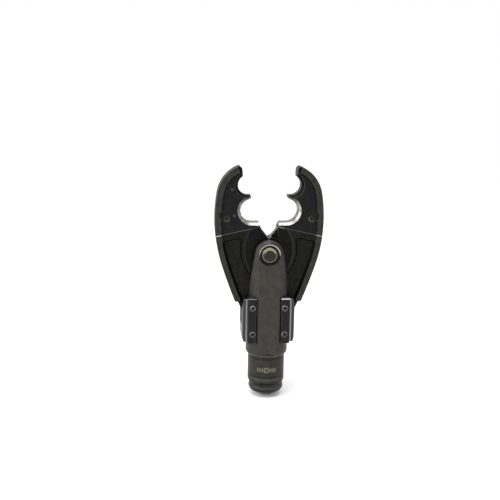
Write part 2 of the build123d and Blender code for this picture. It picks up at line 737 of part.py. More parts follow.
def side_guard():
    """The right guard: a bent channel, slotted at its middle so the lever can swing out."""
    flange_y = PAD_Y + GUARD_FLANGE
    shell = block(STRIP_INNER_X, GUARD_X, -flange_y, flange_y, GUARD_BOTTOM_Z, GUARD_TOP_Z)
    shell = fillet(shell.edges().filter_by(Axis.Z).sort_by(Axis.X)[-2:], GUARD_BEND)
    inside = block(0, GUARD_X - GUARD_WALL, -PAD_Y, PAD_Y, 0, FAR)
    inside = fillet(inside.edges().filter_by(Axis.Z).sort_by(Axis.X)[-2:], GUARD_BEND - GUARD_FLANGE)
    guard = shell - inside
    guard -= block(PAD_HALF_X, FAR, -GUARD_SLOT_HALF, GUARD_SLOT_HALF, GUARD_SLOT_Z, FAR)
    corners = make_face(Polyline(
        (GUARD_X - GUARD_LEAN, GUARD_TOP_Z),
        (GUARD_X, GUARD_TOP_Z - GUARD_LEAD),
        (FAR, GUARD_TOP_Z - GUARD_LEAD),
        (FAR, GUARD_TOP_Z),
        close=True,
    )) + make_face(Polyline(
        (GUARD_X - GUARD_LEAN, GUARD_BOTTOM_Z),
        (GUARD_X, GUARD_BOTTOM_Z + GUARD_FOOT),
        (FAR, GUARD_BOTTOM_Z + GUARD_FOOT),
        (FAR, GUARD_BOTTOM_Z),
        close=True,
    ))
    guard -= plate(corners, FAR)
    for z in SCREW_Z:
        guard -= rod_y(SCREW_R + SCREW_CLEARANCE, -FAR, FAR, SCREW_X, z)
    return guard


def clamp_strip():
    """The front right strip, with sunk seats for its two screws."""
    back = PAD_Y + GUARD_FLANGE
    front = back + STRIP_THICKNESS
    strip = block(STRIP_INNER_X, STRIP_OUTER_X, -front, -back, STRIP_BOTTOM_Z, STRIP_TOP_Z)
    strip = chamfer(strip.faces().sort_by(Axis.Y)[0].edges(), STRIP_CHAMFER)
    for z in SCREW_Z:
        strip -= rod_y(SCREW_R + SCREW_CLEARANCE, -FAR, 0, SCREW_X, z)
        strip -= rod_y(SCREW_HEAD_R + SCREW_CLEARANCE, -FAR, SCREW_HEAD_HEIGHT - front, SCREW_X, z)
    return strip


def strip_screw(x, z):
    """A front socket-head screw."""
    front = PAD_Y + GUARD_FLANGE + STRIP_THICKNESS
    head = chamfer(rod_y(SCREW_HEAD_R, -front, SCREW_HEAD_HEIGHT - front).edges().sort_by(Axis.Y)[0],
                   SCREW_HEAD_CHAMFER)
    shank = rod_y(SCREW_R, SCREW_HEAD_HEIGHT - front, -SCREW_TIP_Y)
    socket = plate(RegularPolygon(HEX_ACROSS_FLATS / 2, 6, major_radius=False), FAR)
    socket &= block(-FAR, FAR, -FAR, HEX_DEPTH - front, -FAR, FAR)
    return Location((x, 0, z)) * (head + shank - socket)


def strip_screws():
    return Compound([strip_screw(x * SCREW_X, z) for x in (-1, 1) for z in SCREW_Z])


# ---- springs along the axes ---------------------------------------------------------

def ram_spring():
    length = SPRING_TOP_Z - SPRING_SEAT_Z - 2 * (SPRING_WIRE_R + SPRING_END_GAP)
    start = Location((0, 0, SPRING_SEAT_Z + SPRING_WIRE_R + SPRING_END_GAP))
    return start * coil(SPRING_R, SPRING_WIRE_R, length, SPRING_TURNS)


def jaw_spring():
    """The tension spring that draws the two levers together, hooked on the anchor pins."""
    reach = ANCHOR_X - JAW_SPRING_HOOK
    middle = JAW_SPRING_R - JAW_SPRING_WIRE_R
    wire = coil(middle, JAW_SPRING_WIRE_R, 2 * reach, JAW_SPRING_TURNS)
    body = Location((-reach, 0, 0), (0, 90, 0)) * wire
    eye_r = ANCHOR_R + JAW_SPRING_WIRE_R + SPRING_END_GAP
    for side in (-1, 1):
        eye = Location((side * ANCHOR_X, 0, 0), (90, 0, 0)) * Torus(eye_r, JAW_SPRING_WIRE_R)
        leg_start = min(side * reach, side * (ANCHOR_X - eye_r / 2))
        leg_end = max(side * reach, side * (ANCHOR_X - eye_r / 2))
        body += eye
        body += Location((0, 0, -middle)) * rod_x(JAW_SPRING_WIRE_R, leg_start, leg_end)
    return Location((0, 0, PIN_Z - ANCHOR_DROP)) * body


# ---- all pieces ---------------------------------------------------------------------

def all_parts():
    parts = {
        "yoke": yoke(),
        "pivot_pin": pivot_pin(),
        "rear_retaining_ring": retaining_ring(),
        "rear_thrust_washer": thrust_washer(),
        "roller_carrier": roller_carrier(),
        "push_rod": push_rod(),
        "rod_cross_pin": rod_x(CROSS_PIN_R, -CARRIER_HALF_X, CARRIER_HALF_X, 0, CROSS_PIN_Z),
        "rod_guide_bush": washer_z(GUIDE_R, ROD_R + FIT, SPRING_TOP_Z, SLOT_FLOOR_Z),
        "spring_seat": washer_z(SPRING_CHAMBER_R - SPRING_SEAT_CLEARANCE, ROD_R,
                                SPRING_SEAT_Z - SPRING_SEAT_THICKNESS, SPRING_SEAT_Z),
        "spring_seat_ring": washer_z(ROD_R + SEAT_RING_WIDTH, SEAT_RING_R,
                                     SPRING_SEAT_Z - SPRING_SEAT_THICKNESS - RING_THICKNESS,
                                     SPRING_SEAT_Z - SPRING_SEAT_THICKNESS),
        "neck_gland": gland(),
        "rod_wiper_seal": washer_z(SEAL_R, ROD_R + FIT, SEAL_Z - SEAL_HEIGHT, SEAL_Z),
        "gland_o_ring": washer_z(GLAND_R, GLAND_R - O_RING_DEPTH, O_RING_Z - O_RING_HEIGHT, O_RING_Z),
        "ram_spring": ram_spring(),
        "jaw_spring": jaw_spring(),
        "right_side_guard": side_guard(),
        "front_right_clamp_strip": clamp_strip(),
        "front_strip_screws": strip_screws(),
        "right_jaw": swung_open(tongue_jaw()),
        "right_jaw_bush": swung_open(bush(-TONGUE_LUG_HALF, TONGUE_LUG_HALF)),
        "left_jaw": mirror_x(swung_open(fork_jaw())),
        "left_jaw_bushes": mirror_x(swung_open(fork_bushes())),
    }
    parts["front_retaining_ring"] = mirror_y(parts["rear_retaining_ring"])
    parts["front_thrust_washer"] = mirror_y(parts["rear_thrust_washer"])
    parts["left_side_guard"] = mirror_x(parts["right_side_guard"])
    parts["front_left_clamp_strip"] = mirror_x(parts["front_right_clamp_strip"])
    parts["rear_right_clamp_strip"] = mirror_y(parts["front_right_clamp_strip"])
    parts["rear_left_clamp_strip"] = mirror_x(parts["rear_right_clamp_strip"])
    parts["rear_strip_screws"] = mirror_y(parts["front_strip_screws"])
    jaw_pieces = {
        "spring_anchor_pin": anchor_pin(),
        "die_button": die_button(),
        "die_detent": die_detent(),
        "button_spring": button_spring(),
        "button_plug": release_plug(),
    }
    for name, piece in jaw_pieces.items():
        parts["right_" + name] = swung_open(piece)
        parts["left_" + name] = mirror_x(swung_open(piece))
    for side, x in (("left", -ROLLER_X), ("right", ROLLER_X)):
        parts[side + "_roller"] = roller(x)
        parts[side + "_roller_bush"] = roller_bush(x)
        parts[side + "_roller_pin"] = rod_y(ROLLER_PIN_R, -CARRIER_HALF, CARRIER_HALF, x, roller_z())
    return parts


os.makedirs("parts", exist_ok=True)
for name, shape in all_parts().items():
    export_step(shape, "parts/" + name + ".step")
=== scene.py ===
import json
import math

import bmesh
import bpy
from mathutils import Matrix, Vector


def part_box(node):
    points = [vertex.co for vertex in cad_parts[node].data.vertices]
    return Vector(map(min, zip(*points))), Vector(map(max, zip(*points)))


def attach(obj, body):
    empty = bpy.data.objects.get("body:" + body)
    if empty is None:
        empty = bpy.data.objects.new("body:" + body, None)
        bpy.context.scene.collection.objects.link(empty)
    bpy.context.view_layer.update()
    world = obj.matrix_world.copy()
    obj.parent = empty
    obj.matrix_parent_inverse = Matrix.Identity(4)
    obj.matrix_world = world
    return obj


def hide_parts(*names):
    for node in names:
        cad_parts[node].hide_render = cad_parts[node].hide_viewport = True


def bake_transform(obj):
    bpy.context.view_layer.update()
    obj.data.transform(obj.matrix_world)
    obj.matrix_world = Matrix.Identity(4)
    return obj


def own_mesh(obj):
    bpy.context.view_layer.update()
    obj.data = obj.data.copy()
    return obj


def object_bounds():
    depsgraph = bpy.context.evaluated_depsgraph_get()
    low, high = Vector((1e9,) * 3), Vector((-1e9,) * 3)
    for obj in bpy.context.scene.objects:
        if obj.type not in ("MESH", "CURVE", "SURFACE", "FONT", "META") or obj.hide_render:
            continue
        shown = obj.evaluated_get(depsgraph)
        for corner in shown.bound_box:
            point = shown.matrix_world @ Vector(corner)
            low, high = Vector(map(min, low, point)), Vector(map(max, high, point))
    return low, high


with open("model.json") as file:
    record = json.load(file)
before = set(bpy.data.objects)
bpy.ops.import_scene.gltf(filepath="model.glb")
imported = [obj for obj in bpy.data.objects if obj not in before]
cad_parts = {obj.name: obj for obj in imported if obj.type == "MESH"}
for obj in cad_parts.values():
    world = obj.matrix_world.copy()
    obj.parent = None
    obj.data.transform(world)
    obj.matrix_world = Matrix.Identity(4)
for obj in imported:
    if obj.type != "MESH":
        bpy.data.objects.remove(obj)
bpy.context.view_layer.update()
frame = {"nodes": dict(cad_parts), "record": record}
nodes = frame["nodes"]

# Driving dimensions in millimetres. Jaw features are given in the shut-jaw drawing, whose origin is
# the pivot pin and whose mouth lies on X = 0; the rest is in the head's own frame.
MM = 0.001
PIN_Z = 97.0
OPEN_ANGLE = 18.0
STEP_Z = 25.8
STEP_SLOPE = 5.7
STEP_MOUTH_X = 6.0
HUB_RECESS_X = -11.0
HUB_RECESS_R = 32.2
HUB_ROLL = 1.3
RIM_LEVEL = 8.2
WEB_LEVEL = 7.3
BEVEL_FOOT = 5.0
TOOTH_Z = 54.4
UPPER_GROOVE = (-0.6, 65.2)
UPPER_BEVEL_R = 12.2
LOWER_GROOVE = (2.9, 42.0)
LOWER_BEVEL_R = 13.7
LOWER_FLOOR_X = 7.0
TIP_LAND_X = 3.4
TIP_LAND_Z = 70.0
NOTCH_LOW_Z = 12.6
NOTCH_HIGH_Z = 24.4
NOTCH_FOOT = (-4.08, 12.55)
NOTCH_TURN = 20.5
NOTCH_LINE = 0.5
STAMPS = ((14.1, 65.8), (19.7, 42.7))
STAMP_R = 1.0
STAMP_LINE = 0.35
BUTTON_X = 27.0
BUTTON_Z = 42.3
BUTTON_R = 2.8
BUTTON_RIM = 0.6
PIN_R = 7.0
PIN_CHAMFER = 0.75
PIN_CENTRE_INSET = 2.6
PIN_STRAW_INSETS = (2.4, 0.8)
PIN_FACE_Y = 16.4
SEAT_R = 8.9
SEAT_RING = 0.9
SEAT_FROM_Y = 15.6
SHOULDER_Z = 0.5
# Bands painted round the neck as (height, half width, grey level): the first is a dark line just below the
# shoulder, the other dark ones are painted shade in the neck's grooves and the light ones are painted
# highlights on its collars.
NECK_PAINTED_BANDS = (
    (-2.6, 0.6, 26),
    (-20.6, 0.6, 10),
    (-23.3, 0.8, 66),
    (-27.6, 1.3, 7),
    (-31.9, 0.6, 66),
    (-34.6, 0.4, 8),
)
MARK_X = -1.0
MARK_Z = -13.0
MARK_RING_R = 2.3
MARK_LINE = 0.24
MARK_BARS = (-8.0, -6.0, -4.0, 4.0, 6.0, 8.0)
BAR_HALF = 1.9
STRIP_INNER_X = 11.2
STRIP_TOP_Z = 56.5
SCREW_X = 14.8
SCREW_Z = (22.4, 47.4)
SCREW_HEAD_R = 2.6
SCREW_RIM = 0.3
HEX_R = 1.35
HEX_LIP = 0.25
GUARD_BEND_X = 21.1
GUARD_SIDE_X = 23.6
RAM_SPRING = {"wire": 0.9, "turns": 6, "closing": 0.6, "travel": 24.0}
BUTTON_SPRING = {"wire": 0.25, "turns": 4, "closing": 0.3, "travel": 2.0}
WIRE_SIDES = 12
COIL_STEPS = 24
JAW_WIRE = 0.4
JAW_COIL_R = 1.3
JAW_COIL_HALF = 6.4
JAW_COIL_TURNS = 6
ANCHOR_X = 9.0
ANCHOR_Z = 72.0
EYE_R = 1.5
EYE_TURN = 340.0

# Finish shared by all metals
SPECULAR = 0.08
ROUND_EDGE = 0.35
EDGE_SAMPLES = 6
CORNER_SAMPLES = 8
# Edge mask limits; the masked edges are painted light for wear and as painted highlights.
WEAR_AND_HIGHLIGHT_FROM = 0.015
WEAR_AND_HIGHLIGHT_FULL = 0.14

# The mix node's sockets for numbers and for colours
NUMBER_LOW, NUMBER_HIGH, NUMBER_OUT = 2, 3, 0
COLOUR_LOW, COLOUR_HIGH, COLOUR_OUT = 6, 7, 2

# Camera, floor and lights, in metres, degrees and watts
CAMERA_PLACE = (-0.0709, -0.6195, 0.2307)
CAMERA_AZIMUTH = -5
CAMERA_PITCH = 12
CAMERA_ROLL = 0.8
CAMERA_LENS = 49.6
SENSOR_WIDTH = 36
FLOOR_HALF = 30.0
WORLD_STRENGTH = 1.0
LIGHTS = (
    {"name": "top", "place": (-0.1, -0.3, 1.1), "target": (0, 0, 0.1),
     "width": 0.8, "height": 0.4, "power": 7},
    {"name": "left", "place": (-0.9, -0.35, 0.5), "target": (0, 0, 0.08),
     "width": 0.15, "height": 0.8, "power": 5},
)


# ---- material graph -----------------------------------------------------------------

def tone(red, green, blue):
    """A screen colour from 0 to 255 as a linear shader colour."""
    def linear(channel):
        level = channel / 255
        return level / 12.92 if level <= 0.04045 else ((level + 0.055) / 1.055) ** 2.4
    return (linear(red), linear(green), linear(blue), 1.0)


def grey(level):
    return tone(level, level, level)


class Graph:
    """A material's node tree with short calls for the nodes used here. Lengths are in millimetres."""

    def __init__(self, name):
        self.material = bpy.data.materials.new(name)
        self.material.use_nodes = True
        self.tree = self.material.node_tree
        self.shader = self.tree.nodes["Principled BSDF"]
        self.shader.inputs["Specular IOR Level"].default_value = SPECULAR
        coordinates = self.node("ShaderNodeTexCoord")
        scaled = self.node("ShaderNodeVectorMath", operation="SCALE")
        self.link(coordinates.outputs["Object"], scaled.inputs[0])
        scaled.inputs["Scale"].default_value = 1 / MM
        self.place = scaled.outputs[0]
        self.x, self.y, self.z = self.split(self.place)
        self.facing = self.math("ABSOLUTE", self.split(coordinates.outputs["Normal"])[1])

    def node(self, kind, **settings):
        made = self.tree.nodes.new(kind)
        for key, value in settings.items():
            setattr(made, key, value)
        return made

    def link(self, source, socket):
        if isinstance(source, (int, float, tuple)):
            socket.default_value = source
        else:
            self.tree.links.new(source, socket)

    def split(self, vector):
        made = self.node("ShaderNodeSeparateXYZ")
        self.link(vector, made.inputs[0])
        return made.outputs

    def math(self, operation, a, b=0.0):
        made = self.node("ShaderNodeMath", operation=operation)
        self.link(a, made.inputs[0])
        self.link(b, made.inputs[1])
        return made.outputs[0]

    def stretched(self, x, y, z):
        """The place, with each axis scaled."""
        made = self.node("ShaderNodeVectorMath", operation="MULTIPLY")
        self.link(self.place, made.inputs[0])
        made.inputs[1].default_value = (x, y, z)
        return made.outputs[0]

    def noise(self, scale, detail=3.0, roughness=0.55, vector=None):
        made = self.node("ShaderNodeTexNoise")
        self.link(vector or self.place, made.inputs["Vector"])
        made.inputs["Scale"].default_value = scale
        made.inputs["Detail"].default_value = detail
        made.inputs["Roughness"].default_value = roughness
        return made.outputs["Fac"]

    def ramp(self, value, low, high, out_low=0.0, out_high=1.0):
        made = self.node("ShaderNodeMapRange", interpolation_type="SMOOTHSTEP")
        settings = (value, low, high, out_low, out_high)
        for name, source in zip(("Value", "From Min", "From Max", "To Min", "To Max"), settings):
            self.link(source, made.inputs[name])
        return made.outputs[0]

    def over(self, value, limit, soft=0.12):
        """A mask that is 1 where the value is above the limit."""
        return self.ramp(value, limit - soft, limit + soft)

    def under(self, value, limit, soft=0.12):
        return self.ramp(value, limit - soft, limit + soft, 1.0, 0.0)

    def between(self, value, low, high, soft=0.12):
        return self.both(self.over(value, low, soft), self.under(value, high, soft))

    def both(self, *masks):
        product = masks[0]
        for mask in masks[1:]:
            product = self.math("MULTIPLY", product, mask)
        return product

    def either(self, *masks):
        result = masks[0]
        for mask in masks[1:]:
            result = self.math("MAXIMUM", result, mask)
        return result

    def without(self, mask):
        return self.math("SUBTRACT", 1.0, mask)

    def distance(self, a, a0, b, b0):
        """The distance from the point (a0, b0) in the plane of the two coordinates."""
        from_a = self.math("POWER", self.math("SUBTRACT", a, a0), 2.0)
        from_b = self.math("POWER", self.math("SUBTRACT", b, b0), 2.0)
        return self.math("SQRT", self.math("ADD", from_a, from_b))

    def mix(self, mask, low, high):
        """A colour that goes from low to high with the mask."""
        made = self.node("ShaderNodeMix", data_type="RGBA")
        self.link(mask, made.inputs["Factor"])
        self.link(low, made.inputs[COLOUR_LOW])
        self.link(high, made.inputs[COLOUR_HIGH])
        return made.outputs[COLOUR_OUT]

    def blend(self, mask, low, high):
        """A number that goes from low to high with the mask."""
        made = self.node("ShaderNodeMix", data_type="FLOAT")
        self.link(mask, made.inputs["Factor"])
        self.link(low, made.inputs[NUMBER_LOW])
        self.link(high, made.inputs[NUMBER_HIGH])
        return made.outputs[NUMBER_OUT]

    def rounded(self, radius):
        bevel = self.node("ShaderNodeBevel", samples=EDGE_SAMPLES)
        bevel.inputs["Radius"].default_value = radius * MM
        return bevel.outputs[0]

    def edges(self, width):
        """A mask of sharp edges, broken up by noise; these edges are painted light for wear and as painted
        highlights.
        """
        dot = self.node("ShaderNodeVectorMath", operation="DOT_PRODUCT")
        self.link(self.rounded(width), dot.inputs[0])
        self.link(self.node("ShaderNodeNewGeometry").outputs["True Normal"], dot.inputs[1])
        turn = self.without(dot.outputs["Value"])
        patches = self.ramp(self.noise(0.35, 4.0), 0.35, 0.6, 0.45, 1.0)
        return self.both(self.ramp(turn, WEAR_AND_HIGHLIGHT_FROM, WEAR_AND_HIGHLIGHT_FULL), patches)

    def hollow(self, reach):
        """A mask that is 1 deep in corners; it places painted shade."""
        made = self.node("ShaderNodeAmbientOcclusion", samples=CORNER_SAMPLES)
        made.inputs["Distance"].default_value = reach * MM
        return self.ramp(made.outputs["AO"], 0.35, 0.95, 1.0, 0.0)

    def finish(self, colour, roughness, metallic, height, depth):
        """Connects the shader: bump of the given depth over slightly rounded edges."""
        bump = self.node("ShaderNodeBump")
        bump.inputs["Distance"].default_value = depth * MM
        self.link(height, bump.inputs["Height"])
        self.link(self.rounded(ROUND_EDGE), bump.inputs["Normal"])
        self.link(colour, self.shader.inputs["Base Color"])
        self.link(roughness, self.shader.inputs["Roughness"])
        self.link(metallic, self.shader.inputs["Metallic"])
        self.link(bump.outputs[0], self.shader.inputs["Normal"])
        return self.material


# ---- materials ----------------------------------------------------------------------

def plain_metal(name, dark, light, wear_and_highlight, rough, metal, grain=(1, 1, 1), grain_scale=3.0, depth=0.01,
                corner_shade=0.6, accents=None):
    """Mottled colour, directional grain, painted shade in the corners and edges painted light for wear and as
    painted highlights. Accents repaint zones of it.
    """
    g = Graph(name)
    mottle = g.ramp(g.noise(0.22, 5.0), 0.35, 0.65)
    fibre = g.noise(grain_scale, 3.0, 0.6, g.stretched(*grain))
    colour = g.mix(g.blend(0.5, mottle, fibre), dark, light)
    if accents:
        colour = accents(g, colour)
    edge = g.math("MULTIPLY", g.edges(0.35), 0.8)
    # Painted shade: darkens the corners.
    colour = g.mix(g.math("MULTIPLY", g.hollow(2.5), corner_shade), colour, grey(6))
    # Edges painted light: wear and painted highlight.
    colour = g.mix(edge, colour, wear_and_highlight)
    uneven = g.ramp(g.blend(0.5, fibre, g.noise(0.6, 4.0)), 0.3, 0.7, rough - 0.07, rough + 0.09)
    height = g.blend(0.35, fibre, g.noise(6.0, 2.0))
    return g.finish(colour, g.blend(edge, uneven, 0.3), g.blend(edge, metal, 0.9), height, depth)


def strip_faces(g, colour):
    """The side faces of this finish, the strips' among them, get painted shade; the strips' top edges get a
    painted highlight, brightest on the right ones.
    """
    # Painted shade on faces turned sideways.
    colour = g.mix(g.under(g.facing, 0.4, 0.1), colour, grey(6))
    # Painted highlight along the strips' top edges, brighter on the right.
    painted_top_highlight = g.mix(g.over(g.x, 0.0), grey(84), grey(165))
    top_edge = g.both(
        g.over(g.math("ABSOLUTE", g.x), STRIP_INNER_X, 0.1),
        g.between(g.z, STRIP_TOP_Z - 0.8, STRIP_TOP_Z + 0.5, 0.15),
    )
    return g.mix(top_edge, colour, painted_top_highlight)


def guard_sheen(g, colour):
    """Painted reflections on the bent sheet: light on its flat, dark over the bend; its side keeps the
    sheet's mid grey.
    """
    out = g.math("ABSOLUTE", g.x)
    # Painted dark reflection over the bend, then a painted light reflection on the flat.
    colour = g.mix(g.between(out, GUARD_BEND_X, GUARD_SIDE_X, 0.5), colour, grey(55))
    return g.mix(g.under(out, GUARD_BEND_X - 0.2, 0.3), colour, grey(150))


def pin_end(g, colour):
    """The pin's end faces: a bright chamfer, a dark disc and a straw-coloured patch at the top."""
    radius = g.distance(g.x, 0.0, g.z, PIN_Z)
    end = g.over(g.math("ABSOLUTE", g.y), PIN_FACE_Y, 0.1)
    disc = g.both(end, g.under(radius, PIN_R - PIN_CHAMFER, 0.15))
    centre = g.both(end, g.under(radius, PIN_R - PIN_CENTRE_INSET, 0.3))
    inner, outer = (PIN_R - inset for inset in PIN_STRAW_INSETS)
    crescent = g.both(g.between(radius, inner, outer, 0.3), g.over(g.z, PIN_Z + 2.0, 1.6))
    straw = g.both(end, crescent, g.ramp(g.noise(0.8), 0.3, 0.55, 0.5, 1.0))
    chamfer = g.both(end, g.over(radius, PIN_R - PIN_CHAMFER, 0.1))
    colour = g.mix(disc, colour, tone(54, 55, 49))
    colour = g.mix(centre, colour, tone(44, 45, 40))
    colour = g.mix(straw, colour, tone(150, 140, 104))
    return g.mix(chamfer, colour, tone(112, 112, 100))


def screw_head(g, colour):
    """A bright rim round a dark face with a black socket: the rim and the lighter lip round the socket are
    painted highlights, the black socket is painted shade.
    """
    out = g.math("ABSOLUTE", g.x)
    radii = [g.distance(out, SCREW_X, g.z, z) for z in SCREW_Z]
    radius = g.math("MINIMUM", *radii)
    rim = g.both(g.over(radius, SCREW_HEAD_R - SCREW_RIM, 0.08), g.ramp(g.noise(0.5), 0.35, 0.5, 0.35, 1.0))
    socket = g.under(radius, HEX_R, 0.1)
    lip_highlight = g.between(radius, HEX_R, HEX_R + HEX_LIP, 0.08)
    # Painted highlight on the socket's lip.
    colour = g.mix(g.math("MULTIPLY", lip_highlight, 0.5), colour, grey(110))
    # Painted highlight on the rim.
    colour = g.mix(rim, colour, grey(225))
    # Painted shade filling the socket.
    return g.mix(socket, colour, grey(4))


def shut_place(g):
    """The shut-drawing coordinates of a jaw's surface, for both jaws as they stand open."""
    cosine = math.cos(math.radians(OPEN_ANGLE))
    sine = math.sin(math.radians(OPEN_ANGLE))
    x = g.math("ABSOLUTE", g.x)
    z = g.math("SUBTRACT", g.z, PIN_Z)
    shut_x = g.math("SUBTRACT", g.math("MULTIPLY", x, cosine), g.math("MULTIPLY", z, sine))
    shut_z = g.math("ADD", g.math("MULTIPLY", z, cosine), g.math("MULTIPLY", x, sine))
    return shut_x, shut_z


def button_face(g, colour):
    """The die button's face, with a light rim that is brightest below; the rim is a painted highlight."""
    shut_x, shut_z = shut_place(g)
    radius = g.distance(shut_x, BUTTON_X, shut_z, BUTTON_Z)
    rim = g.over(radius, BUTTON_R - BUTTON_RIM, 0.1)
    # Painted highlight, brightest on the rim's lower part.
    low = g.under(shut_z, BUTTON_Z, 1.5)
    colour = g.mix(rim, colour, grey(44))
    return g.mix(g.both(rim, low), colour, tone(108, 106, 98))


def jaw_material():
    """Both jaws share one finish; its zones follow the recess levels and the shut-jaw drawing."""
    g = Graph("jaw_finish")
    depth = g.math("ABSOLUTE", g.y)
    shut_x, shut_z = shut_place(g)
    slope = math.tan(math.radians(STEP_SLOPE))
    step_height = g.math("SUBTRACT", shut_z, g.math("MULTIPLY", shut_x, slope))
    flat = g.over(g.facing, 0.96, 0.02)
    leaning = g.between(g.facing, 0.3, 0.95, 0.03)
    upper = g.over(step_height, STEP_Z, 0.25)
    below_step = g.without(upper)
    hub_distance = g.distance(shut_x, HUB_RECESS_X, shut_z, 0.0)
    hub = g.both(g.under(hub_distance, HUB_RECESS_R, 0.2), below_step)
    hub_edge_highlight = g.both(g.between(hub_distance, HUB_RECESS_R, HUB_RECESS_R + HUB_ROLL, 0.15), below_step)
    rim = g.both(g.over(depth, RIM_LEVEL, 0.08), flat)
    by_lower = g.either(
        g.under(g.distance(shut_x, LOWER_GROOVE[0], shut_z, LOWER_GROOVE[1]), LOWER_BEVEL_R, 0.1),
        g.under(shut_x, LOWER_FLOOR_X, 0.2),
    )
    by_upper = g.under(g.distance(shut_x, UPPER_GROOVE[0], shut_z, UPPER_GROOVE[1]), UPPER_BEVEL_R, 0.1)
    lower_side = g.both(g.under(shut_z, TOOTH_Z, 0.3), g.over(step_height, STEP_Z + 0.8, 0.2), by_lower)
    lower_bevel = g.both(lower_side, leaning)
    lower_wall = g.both(lower_side, g.under(g.facing, 0.3, 0.05))
    upper_bevel = g.both(g.over(shut_z, TOOTH_Z, 0.3), by_upper, leaning)
    bevel_lip = g.both(upper_bevel, g.over(depth, WEB_LEVEL - 0.35, 0.08))
    shaded_recess_wall = g.both(leaning, g.without(g.either(lower_side, by_upper)))
    tip = g.both(g.under(shut_x, TIP_LAND_X, 0.15), g.over(shut_z, TIP_LAND_Z, 0.3))
    turn = math.radians(NOTCH_TURN)
    along = g.math("MULTIPLY", g.math("SUBTRACT", shut_z, NOTCH_FOOT[1]), math.sin(turn))
    across = g.math("MULTIPLY", g.math("SUBTRACT", shut_x, NOTCH_FOOT[0]), math.cos(turn))
    from_flank = g.math("ABSOLUTE", g.math("SUBTRACT", across, along))
    notch = g.both(g.between(shut_z, NOTCH_LOW_Z, NOTCH_HIGH_Z, 0.4), g.under(from_flank, NOTCH_LINE))
    notch_flank = g.both(notch, g.under(g.facing, 0.3, 0.05))
    step_highlight_line = g.between(step_height, STEP_Z - 0.25, STEP_Z + 0.25, 0.12)
    step_mouth_highlight = g.both(step_highlight_line, g.under(shut_x, STEP_MOUTH_X, 0.5), g.over(g.x, 0.0))
    front_left = g.both(g.under(g.x, 0.0), g.under(g.y, 0.0))
    stamps = []
    for x, z in STAMPS:
        stamps.append(g.between(g.distance(shut_x, x, shut_z, z), STAMP_R - STAMP_LINE, STAMP_R + 0.1, 0.1))
    stamp = g.both(g.either(*stamps), front_left, flat)

    mottle = g.ramp(g.noise(0.3, 5.0), 0.32, 0.68)
    scale_marks = g.noise(0.9, 4.0, 0.65)
    tool_marks = g.noise(2.2, 2.0, 0.5, g.stretched(0.25, 1, 2.2))
    forged = g.mix(mottle, tone(20, 20, 17), tone(30, 30, 25))
    machined = g.mix(g.blend(0.5, mottle, tool_marks), tone(20, 20, 20), tone(32, 32, 32))
    colour = g.mix(upper, forged, machined)
    colour = g.mix(hub, colour, g.mix(mottle, tone(12, 12, 12), tone(21, 21, 20)))
    colour = g.mix(rim, colour, g.mix(mottle, tone(42, 42, 38), tone(52, 52, 47)))
    # Painted shade on the recess walls.
    colour = g.mix(shaded_recess_wall, colour, grey(4))
    # Painted highlight along the hub recess's edge.
    colour = g.mix(g.math("MULTIPLY", hub_edge_highlight, 0.8), colour, tone(48, 48, 43))
    colour = g.mix(upper_bevel, colour, grey(10))
    colour = g.mix(bevel_lip, colour, grey(50))
    colour = g.mix(tip, colour, grey(12))
    # Painted shade in the corners.
    colour = g.mix(g.math("MULTIPLY", g.hollow(3.2), 0.85), colour, grey(4))

    bands = g.between(depth, WEB_LEVEL - 0.95, WEB_LEVEL - 0.55, 0.12)
    bare = g.mix(mottle, tone(126, 124, 118), tone(172, 170, 163))
    bare = g.mix(g.math("MULTIPLY", bands, 0.7), bare, grey(84))
    bare = g.mix(g.under(depth, BEVEL_FOOT + 0.35, 0.15), bare, grey(50))
    # The groove's side wall: light grey, with painted shade near its foot.
    wall_with_shade = g.mix(g.between(depth, BEVEL_FOOT - 1.4, BEVEL_FOOT + 0.2, 0.2), grey(112), grey(26))
    edge = g.both(g.edges(0.45), g.without(shaded_recess_wall))
    # Edges painted light: wear and painted highlight.
    colour = g.mix(g.math("MULTIPLY", edge, 0.7), colour, tone(116, 115, 108))
    colour = g.mix(lower_bevel, colour, bare)
    colour = g.mix(lower_wall, colour, wall_with_shade)
    colour = g.mix(notch_flank, colour, grey(58))
    # Painted highlights on the notch edges and on the step where it meets the mouth.
    colour = g.mix(g.either(g.both(notch, edge), g.both(step_mouth_highlight, flat)), colour, grey(190))
    # Painted highlight along the step: fainter on the web, brighter across the rim.
    colour = g.mix(g.both(step_highlight_line, g.over(g.facing, 0.5), g.without(rim), g.without(hub)), colour, grey(72))
    colour = g.mix(g.both(step_highlight_line, rim), colour, grey(175))
    colour = g.mix(g.math("MULTIPLY", stamp, 0.75), colour, tone(92, 90, 84))

    polished = g.either(lower_bevel, lower_wall, notch_flank, g.math("MULTIPLY", edge, 0.7))
    rough_forged = g.ramp(scale_marks, 0.3, 0.7, 0.5, 0.66)
    rough_machined = g.ramp(tool_marks, 0.3, 0.7, 0.38, 0.52)
    roughness = g.blend(polished, g.blend(g.either(upper, hub), rough_forged, rough_machined), 0.32)
    height = g.blend(g.either(upper, hub), scale_marks, g.math("MULTIPLY", tool_marks, 0.25))
    return g.finish(colour, roughness, g.blend(polished, 0.45, 0.9), height, 0.07)


